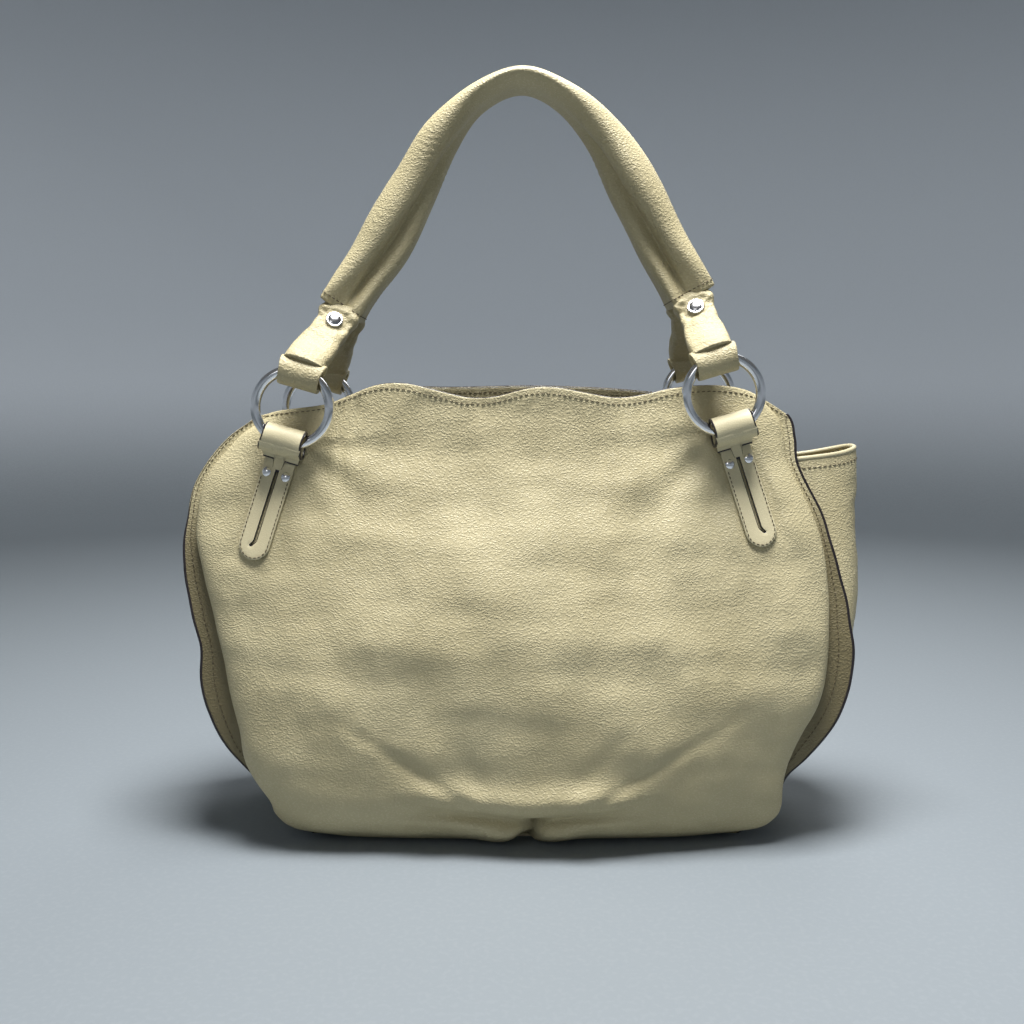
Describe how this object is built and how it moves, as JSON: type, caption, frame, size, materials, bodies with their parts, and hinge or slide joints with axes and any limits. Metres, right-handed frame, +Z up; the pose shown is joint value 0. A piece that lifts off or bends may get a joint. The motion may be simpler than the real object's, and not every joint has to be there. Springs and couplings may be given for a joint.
{
  "type": "hobo bag",
  "caption": "Slouchy leather shoulder bag with a grooved padded handle on rings, side pockets, an open lined mouth and a flat base.",
  "frame": {"origin": "on the surface the bag stands on, below the middle of its seams", "axes": "+Z up, -Y out of the front panel, +X to the right seen from the front"},
  "size_m": [0.4389, 0.168, 0.489],
  "materials": {
    "pebbled_leather": "pebbled, satin",
    "smooth_leather": "smooth, satin",
    "polished_metal": "polished",
    "lining_cloth": "matte",
    "zip_cloth": "matte",
    "board": "matte",
    "padding": "matte"
  },
  "bodies": {
    "bag": {"front_panel": "pebbled_leather", "back_panel": "pebbled_leather", "base_panel": "smooth_leather", "gusset_left": "smooth_leather", "gusset_right": "smooth_leather", "side_pocket_left": "pebbled_leather", "side_pocket_right": "pebbled_leather", "top_facing_front": "smooth_leather", "top_facing_back": "smooth_leather", "lining": "lining_cloth", "base_board": "board", "snap_stud": "polished_metal", "snap_socket": "polished_metal", "zip_pouch": "lining_cloth", "zip_welt": "smooth_leather", "zip_tape": "zip_cloth", "zip_teeth": "polished_metal", "phone_pocket": "lining_cloth", "ring_tab_front_left": "smooth_leather", "ring_tab_front_right": "smooth_leather", "ring_tab_back_left": "smooth_leather", "ring_tab_back_right": "smooth_leather", "tab_rivets_front_left": "polished_metal", "tab_rivets_front_right": "polished_metal", "tab_rivets_back_left": "polished_metal", "tab_rivets_back_right": "polished_metal"},
    "ring_front_left": {"ring_front_left": "polished_metal"},
    "ring_front_right": {"ring_front_right": "polished_metal"},
    "ring_back_left": {"ring_back_left": "polished_metal"},
    "ring_back_right": {"ring_back_right": "polished_metal"},
    "handle_ends": {"strap_front_left": "pebbled_leather", "strap_front_right": "pebbled_leather", "strap_back_left": "pebbled_leather", "strap_back_right": "pebbled_leather", "strap_rivet_front_left": "polished_metal", "strap_rivet_front_right": "polished_metal", "strap_rivet_back_left": "polished_metal", "strap_rivet_back_right": "polished_metal", "handle_crease_left": "pebbled_leather", "handle_crease_right": "pebbled_leather"},
    "handle": {"handle_cover": "pebbled_leather", "handle_padding": "padding"},
    "zip_slider": {"zip_slider": "polished_metal"},
    "zip_pull": {"zip_pull": "polished_metal"}
  },
  "joints": [
    {"name": "ring_front_left_swing", "type": "hinge", "parent": "bag", "child": "ring_front_left", "pos_m": [-0.14387, -0.04486, 0.25453], "axis": [1, 0, 0], "range_deg": [-20, 20]},
    {"name": "ring_front_right_swing", "type": "hinge", "parent": "bag", "child": "ring_front_right", "pos_m": [0.13487, -0.04486, 0.26253], "axis": [1, 0, 0], "range_deg": [-20, 20]},
    {"name": "ring_back_left_swing", "type": "hinge", "parent": "bag", "child": "ring_back_left", "pos_m": [-0.14387, 0.04486, 0.25453], "axis": [1, 0, 0], "range_deg": [-20, 20]},
    {"name": "ring_back_right_swing", "type": "hinge", "parent": "bag", "child": "ring_back_right", "pos_m": [0.13487, 0.04486, 0.26253], "axis": [1, 0, 0], "range_deg": [-20, 20]},
    {"name": "handle_sway", "type": "hinge", "parent": "ring_front_left", "child": "handle_ends", "pos_m": [-0.13213, -0.04486, 0.29547], "axis": [1, 0, 0], "range_deg": [-20, 20]},
    {"name": "handle_fold", "type": "hinge", "parent": "handle_ends", "child": "handle", "pos_m": [0, 0, 0.366], "axis": [1, 0, 0], "range_deg": [-100, 100], "deforming": ["handle_crease_left", "handle_crease_right"]},
    {"name": "zip_slide", "type": "slide", "parent": "bag", "child": "zip_slider", "axis": [1, 0, 0], "range_m": [0, 0.147]},
    {"name": "zip_pull_swing", "type": "hinge", "parent": "zip_slider", "child": "zip_pull", "pos_m": [-0.0735, 0.04147, 0.1926], "axis": [0, -0.2853, 0.9584], "range_deg": [0, 170]}
  ],
  "couplings": [
    {"joint": "ring_front_right_swing", "follows": "ring_front_left_swing", "ratio": 1},
    {"joint": "ring_back_left_swing", "follows": "ring_front_left_swing", "ratio": 1},
    {"joint": "ring_back_right_swing", "follows": "ring_front_left_swing", "ratio": 1},
    {"joint": "handle_sway", "follows": "ring_front_left_swing", "ratio": -1}
  ]
}
